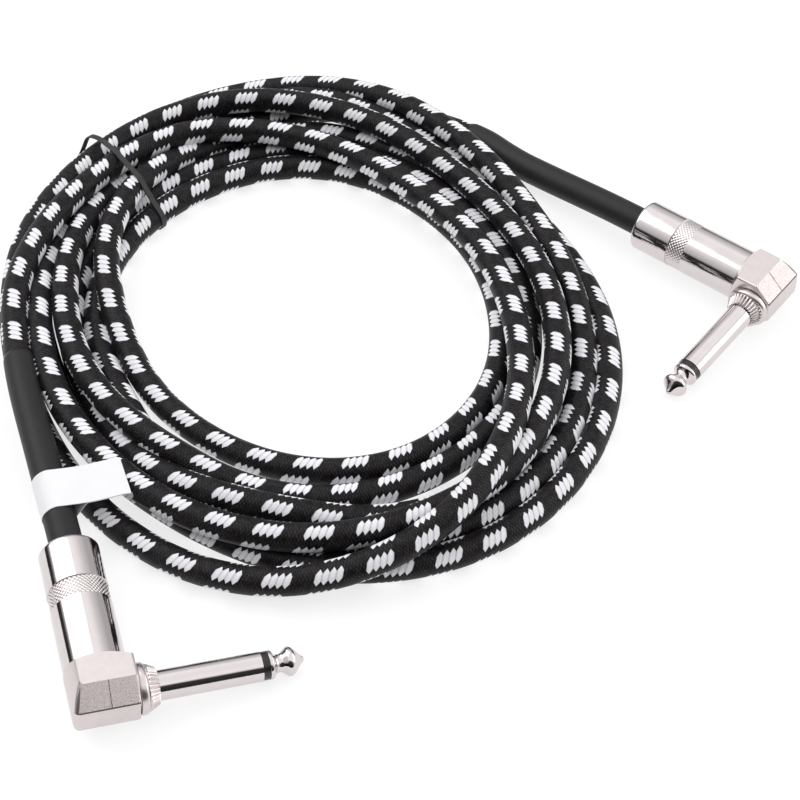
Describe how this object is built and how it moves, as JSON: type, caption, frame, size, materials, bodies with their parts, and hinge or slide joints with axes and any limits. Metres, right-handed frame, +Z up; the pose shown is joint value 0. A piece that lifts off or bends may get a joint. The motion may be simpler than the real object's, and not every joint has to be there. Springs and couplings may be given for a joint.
{
  "type": "instrument cable",
  "caption": "Coiled braided instrument cable with a right-angle quarter-inch jack plug at each end, screw-on barrels, a thin tie and a flag label.",
  "frame": {"origin": "on the surface that the cable lies on, under the middle of the box around the two plugs", "axes": "+Z up from the surface; +Y away from plug A, along the far side of the coil; +X from plug A towards plug B"},
  "size_m": [0.1989, 0.2206, 0.0167],
  "materials": {
    "polished_nickel": "mirror-bright nickel plating",
    "cast_nickel": "fine-grained cast nickel, polished back",
    "black_insulator": "moulded, semi-gloss black",
    "brass_inner": "plain brass inside the plug",
    "black_jacket": "matt PVC jacket",
    "clear_insulation": "milky polyethylene core",
    "bare_copper": "bare copper strands",
    "clear_liner": "translucent insulating tube",
    "solder": "soft solder",
    "woven_braid": "black herringbone braid with rows of white leaf-shaped picks",
    "shrink_tube": "matt black heat-shrink",
    "tie_plastic": "thin matt black band",
    "label_film": "white film, blank"
  },
  "bodies": {
    "cable_assembly": {"collar_a": "polished_nickel", "elbow_a": "cast_nickel", "ground_sleeve_a": "polished_nickel", "tip_ring_a": "black_insulator", "tip_a": "polished_nickel", "tip_rod_a": "brass_inner", "rod_insulator_a": "black_insulator", "rear_washer_a": "black_insulator", "tip_lug_a": "brass_inner", "inner_jacket_a": "black_jacket", "cable_core_a": "clear_insulation", "centre_wire_a": "bare_copper", "ground_lug_a": "brass_inner", "shield_tail_a": "bare_copper", "tip_solder_a": "solder", "ground_solder_a": "solder", "cable_lead_a": "woven_braid", "lead_sleeve_a": "shrink_tube", "collar_b": "polished_nickel", "elbow_b": "cast_nickel", "ground_sleeve_b": "polished_nickel", "tip_ring_b": "black_insulator", "tip_b": "polished_nickel", "tip_rod_b": "brass_inner", "rod_insulator_b": "black_insulator", "rear_washer_b": "black_insulator", "tip_lug_b": "brass_inner", "inner_jacket_b": "black_jacket", "cable_core_b": "clear_insulation", "centre_wire_b": "bare_copper", "ground_lug_b": "brass_inner", "shield_tail_b": "bare_copper", "tip_solder_b": "solder", "ground_solder_b": "solder", "cable_lead_b": "woven_braid", "lead_sleeve_b": "shrink_tube", "cable_coil": "woven_braid", "cable_tie": "tie_plastic", "cable_label": "label_film"},
    "liner_body_a": {"barrel_liner_a": "clear_liner"},
    "barrel_body_a": {"barrel_a": "polished_nickel"},
    "liner_body_b": {"barrel_liner_b": "clear_liner"},
    "barrel_body_b": {"barrel_b": "polished_nickel"}
  },
  "joints": [
    {"name": "unscrew_travel_a", "type": "slide", "parent": "cable_assembly", "child": "liner_body_a", "axis": [-0.2984, 0.9527, 0.0571], "range_m": [0, 0.00375]},
    {"name": "barrel_turn_a", "type": "hinge", "parent": "liner_body_a", "child": "barrel_body_a", "pos_m": [-0.0713, -0.0719, 0.00805], "axis": [-0.2984, 0.9527, 0.0571], "range_deg": [0, 1801]},
    {"name": "unscrew_travel_b", "type": "slide", "parent": "cable_assembly", "child": "liner_body_b", "axis": [-0.757, 0.6534, 0], "range_m": [0, 0.00375]},
    {"name": "barrel_turn_b", "type": "hinge", "parent": "liner_body_b", "child": "barrel_body_b", "pos_m": [0.0805, 0.0498, 0.00805], "axis": [-0.757, 0.6534, 0], "range_deg": [0, 1801]}
  ],
  "couplings": [
    {"joint": "barrel_turn_a", "follows": "unscrew_travel_a", "rad_per_m": 8377.6},
    {"joint": "barrel_turn_b", "follows": "unscrew_travel_b", "rad_per_m": 8377.6}
  ]
}
